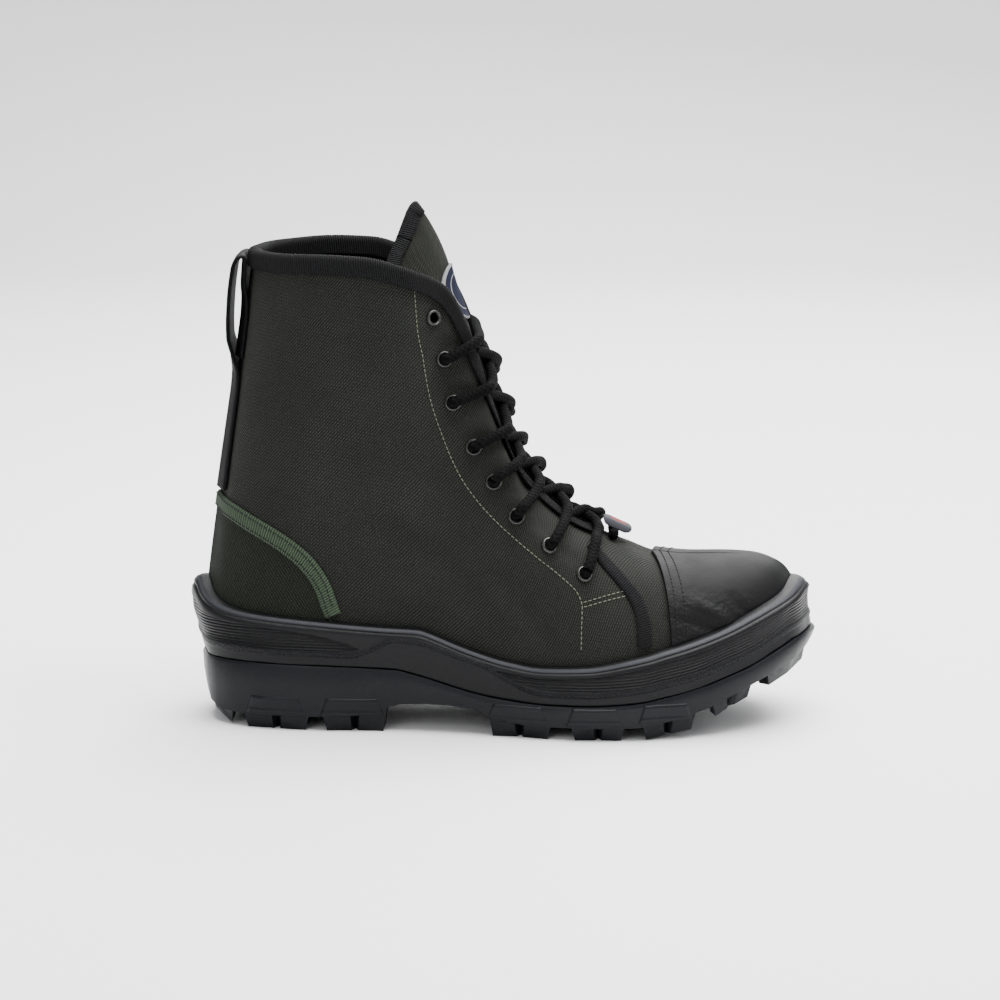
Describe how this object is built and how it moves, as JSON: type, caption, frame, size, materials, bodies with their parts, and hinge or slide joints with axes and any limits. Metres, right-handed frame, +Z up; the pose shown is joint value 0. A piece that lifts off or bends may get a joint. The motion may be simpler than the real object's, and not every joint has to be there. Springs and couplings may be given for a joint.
{
  "type": "jungle boot",
  "caption": "Laced canvas jungle boot with leather toe cap, bound collar and facings, pull loop and moulded lugged rubber sole.",
  "frame": {"origin": "centre of the bounding box on the floor under the sole", "axes": "+X towards the toe, -Y the outer side of the foot, +Z up"},
  "size_m": [0.3034, 0.1108, 0.2492],
  "materials": {
    "binding": "black ribbed binding tape",
    "counter_tape": "grey-green ribbed tape",
    "eyelet": "black lacquered metal",
    "heel_counter": "dark green canvas",
    "insole": "black textile board",
    "lace": "black braided cord",
    "midsole": "black moulded rubber, satin",
    "outsole": "blue-black moulded rubber, satin",
    "patch": "plain navy woven patch",
    "strap": "black leather strip",
    "tag": "grey coated strip",
    "toe_cap": "smooth black leather, semi-gloss",
    "tongue": "olive twill",
    "upper": "dark olive cotton twill, matt"
  },
  "bodies": {
    "root": {"back_strap": "strap", "counter_tape": "counter_tape", "edge_binding": "binding", "eyelet_inner_1": "eyelet", "eyelet_inner_2": "eyelet", "eyelet_inner_3": "eyelet", "eyelet_inner_4": "eyelet", "eyelet_inner_5": "eyelet", "eyelet_inner_6": "eyelet", "eyelet_inner_7": "eyelet", "eyelet_inner_8": "eyelet", "eyelet_outer_1": "eyelet", "eyelet_outer_2": "eyelet", "eyelet_outer_3": "eyelet", "eyelet_outer_4": "eyelet", "eyelet_outer_5": "eyelet", "eyelet_outer_6": "eyelet", "eyelet_outer_7": "eyelet", "eyelet_outer_8": "eyelet", "heel_counter": "heel_counter", "insole": "insole", "lace_bar": "lace", "lace_crossing_2": "lace", "lace_crossing_3": "lace", "lace_crossing_4": "lace", "lace_crossing_5": "lace", "lace_crossing_6": "lace", "lace_crossing_7": "lace", "lace_crossing_8": "lace", "lace_tag": "tag", "midsole": "midsole", "outsole": "outsole", "quarter_tape_inner": "binding", "quarter_tape_outer": "binding", "toe_cap": "toe_cap", "tongue": "tongue", "tongue_patch": "patch", "upper": "upper"}
  },
  "joints": []
}
